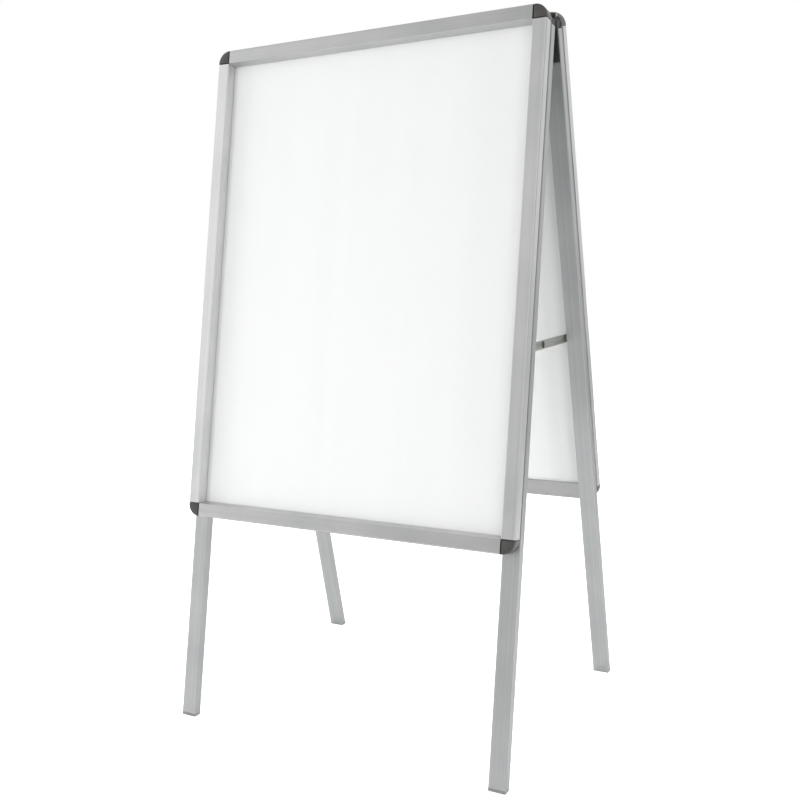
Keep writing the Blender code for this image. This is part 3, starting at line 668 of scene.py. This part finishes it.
def softenedCopy(nodeName, edgeRadius):  # the CAD mesh is loose triangles, so its copy is merged first
    obj = bpy.data.objects.new(nodeName + "_finished", frame["nodes"][nodeName].data.copy())
    bpy.context.scene.collection.objects.link(obj)
    onlySelect(obj)
    bpy.ops.object.mode_set(mode="EDIT")
    bpy.ops.mesh.select_all(action="SELECT")
    bpy.ops.mesh.remove_doubles(threshold=softened["mergeWithin"])
    bpy.ops.mesh.dissolve_limited(angle_limit=math.radians(softened["flatAngle"]))
    bpy.ops.mesh.normals_make_consistent(inside=False)
    return closePiece(obj, edgeRadius)


for side in sides:
    for edge in ("left", "right"):
        for kind, material, slot in (
            ("hinge_leaf", hingeNylon, "top_hinge"),
            ("foot", footPolythene, "foot"),
            ("stay_rivet", zincSteel, "rivet"),
        ):
            nodeName = side + "_" + kind + "_" + edge
            piece = softenedCopy(nodeName, softened[kind])
            giveLook(piece, material, side + "_panel", [nodeName])
print("small pieces done")


studio = {
    "ambient": 0.41,
    "backdrop": 1.0,
    "lamps": [  # direction it comes from, cosines where it starts and is full, strength
        ((-0.95, -0.25, 0.15), 0.45, 1.00, 0.90),
        ((0.55, -0.75, 0.36), 0.76, 0.97, 0.55),
        ((0.20, -0.10, 0.97), 0.55, 0.95, 0.30),
        ((0.15, 0.98, 0.15), 0.45, 0.97, 0.42),
    ],
    "softboxes": [  # name, place, size across, watts
        ("key", (-2.05, -2.60, 0.95), 0.45, 21),
        ("left", (-3.00, -0.60, 0.80), 1.6, 66),
        ("right", (2.40, -1.90, 0.80), 1.4, 9),
        ("between", (2.00, -0.20, 0.50), 0.8, 33),  # reaches the inside of the rear panel
        ("back", (-1.80, 3.00, 1.40), 1.8, 60),
    ],
    "floorSide": 30.0,
    "floorHeight": -0.0005,
    "floorBounce": "#dddddd",  # what the floor throws back at the board
    "floorSeen": "#f4f4f4",
    "floorGlow": 0.45,
}
white = (1, 1, 1, 1)


def studioWorld():
    world = bpy.data.worlds.new("studio")
    bpy.context.scene.world = world
    world.use_nodes = True
    tree = world.node_tree
    tree.nodes.clear()
    way = addNode(tree, "ShaderNodeTexCoord").outputs["Generated"]
    total = studio["ambient"]
    for direction, start, full, strength in studio["lamps"]:
        facing = Vector(direction).normalized()
        share = addNode(tree, "ShaderNodeVectorMath", {0: way, 1: facing}, operation="DOT_PRODUCT")
        inputs = {"Value": share.outputs["Value"], "From Min": start, "From Max": full, "To Max": strength}
        glow = addNode(tree, "ShaderNodeMapRange", inputs, interpolation_type="SMOOTHSTEP")
        total = addNode(tree, "ShaderNodeMath", {0: glow.outputs[0], 1: total}, operation="ADD").outputs[0]
    light = addNode(tree, "ShaderNodeBackground", {"Color": white, "Strength": total})
    paper = addNode(tree, "ShaderNodeBackground", {"Color": white, "Strength": studio["backdrop"]})
    ray = addNode(tree, "ShaderNodeLightPath")
    inputs = {0: ray.outputs["Is Camera Ray"], 1: light.outputs[0], 2: paper.outputs[0]}
    mix = addNode(tree, "ShaderNodeMixShader", inputs)
    addNode(tree, "ShaderNodeOutputWorld", {"Surface": mix.outputs[0]})


def paperFloor():
    bpy.ops.mesh.primitive_plane_add(size=studio["floorSide"], location=(0, 0, studio["floorHeight"]))
    floor = bpy.context.object
    floor.name = "floor"
    material = bpy.data.materials.new("studioPaper")
    material.use_nodes = True
    tree = material.node_tree
    tree.nodes.clear()
    matt = addNode(tree, "ShaderNodeBsdfDiffuse", {"Color": hexColour(studio["floorBounce"])})
    bright = addNode(tree, "ShaderNodeBsdfDiffuse", {"Color": hexColour(studio["floorSeen"])})
    glow = addNode(tree, "ShaderNodeEmission", {"Color": white, "Strength": studio["floorGlow"]})
    seen = addNode(tree, "ShaderNodeAddShader", {0: bright.outputs[0], 1: glow.outputs[0]})
    ray = addNode(tree, "ShaderNodeLightPath")
    inputs = {0: ray.outputs["Is Camera Ray"], 1: matt.outputs[0], 2: seen.outputs[0]}
    mix = addNode(tree, "ShaderNodeMixShader", inputs)
    addNode(tree, "ShaderNodeOutputMaterial", {"Surface": mix.outputs[0]})
    floor.data.materials.append(material)


def addSoftboxes():  # these shade the matt sheets, and stay out of the metal's reflections
    middle = (cadBox[0] + cadBox[1]) / 2
    for name, place, across, watts in studio["softboxes"]:
        data = bpy.data.lights.new(name, "AREA")
        data.shape = "DISK"
        data.size = across
        data.energy = watts
        lamp = bpy.data.objects.new(name, data)
        bpy.context.scene.collection.objects.link(lamp)
        lamp.location = place
        lamp.rotation_euler = (middle - Vector(place)).to_track_quat("-Z", "Y").to_euler()
        lamp.visible_glossy = False


camera = {
    "place": (0.929, -1.608, 0.843),
    "turnLeft": 29.63,
    "lookUp": -8.54,
    "roll": -1.96,
    "lens": 46.05,
    "sensor": 36.0,
}


def addCamera():
    turn, lift, roll = (math.radians(camera[key]) for key in ("turnLeft", "lookUp", "roll"))
    ahead = Vector((-math.sin(turn) * math.cos(lift), math.cos(turn) * math.cos(lift), math.sin(lift)))
    right = ahead.cross(Vector((0, 0, 1))).normalized()
    up = right.cross(ahead)
    rolledRight = right * math.cos(roll) + up * math.sin(roll)
    rolledUp = up * math.cos(roll) - right * math.sin(roll)
    turned = Matrix((rolledRight, rolledUp, -ahead)).transposed().to_4x4()
    data = bpy.data.cameras.new("camera")
    data.lens = camera["lens"]
    data.sensor_width = camera["sensor"]
    obj = bpy.data.objects.new("camera", data)
    bpy.context.scene.collection.objects.link(obj)
    obj.matrix_world = Matrix.Translation(camera["place"]) @ turned
    bpy.context.scene.camera = obj


bpy.ops.object.select_all(action="DESELECT")
studioWorld()
paperFloor()
addSoftboxes()
addCamera()
bpy.context.scene.view_settings.view_transform = "Standard"
print("studio done")
